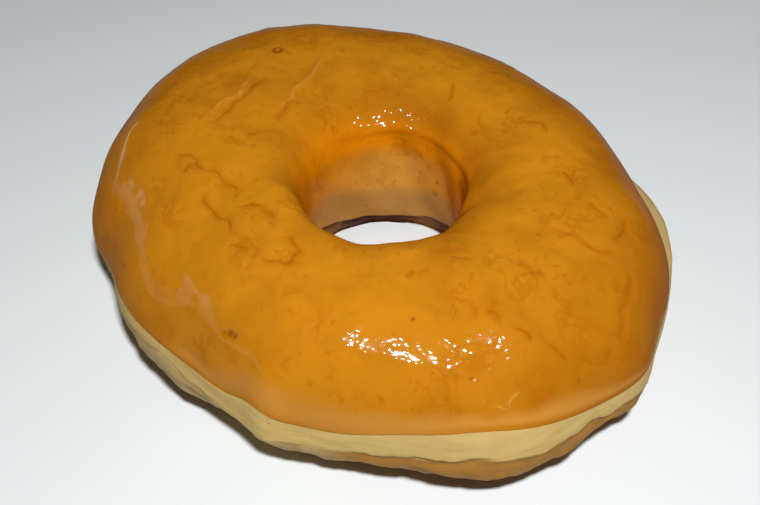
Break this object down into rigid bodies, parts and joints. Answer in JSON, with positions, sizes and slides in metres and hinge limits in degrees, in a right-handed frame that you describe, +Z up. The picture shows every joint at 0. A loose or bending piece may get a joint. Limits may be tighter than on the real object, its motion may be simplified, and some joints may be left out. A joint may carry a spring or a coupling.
{
  "type": "glazed ring doughnut",
  "caption": "Ring doughnut, made as a moulded display copy: an orange glaze coat over the top, a pale band round the side, a browned flat underside and an open hole.",
  "frame": {"origin": "centre of the bounding box on the surface that the doughnut rests on", "axes": "+Z up through the hole, +X along the longer way across the ring"},
  "size_m": [0.103, 0.0844, 0.0292],
  "materials": {
    "glaze": "glossy orange coat over the top and down the hole, satin cream band round the side, matt tan-brown underside"
  },
  "bodies": {
    "root": {"doughnut": "glaze"}
  },
  "joints": []
}
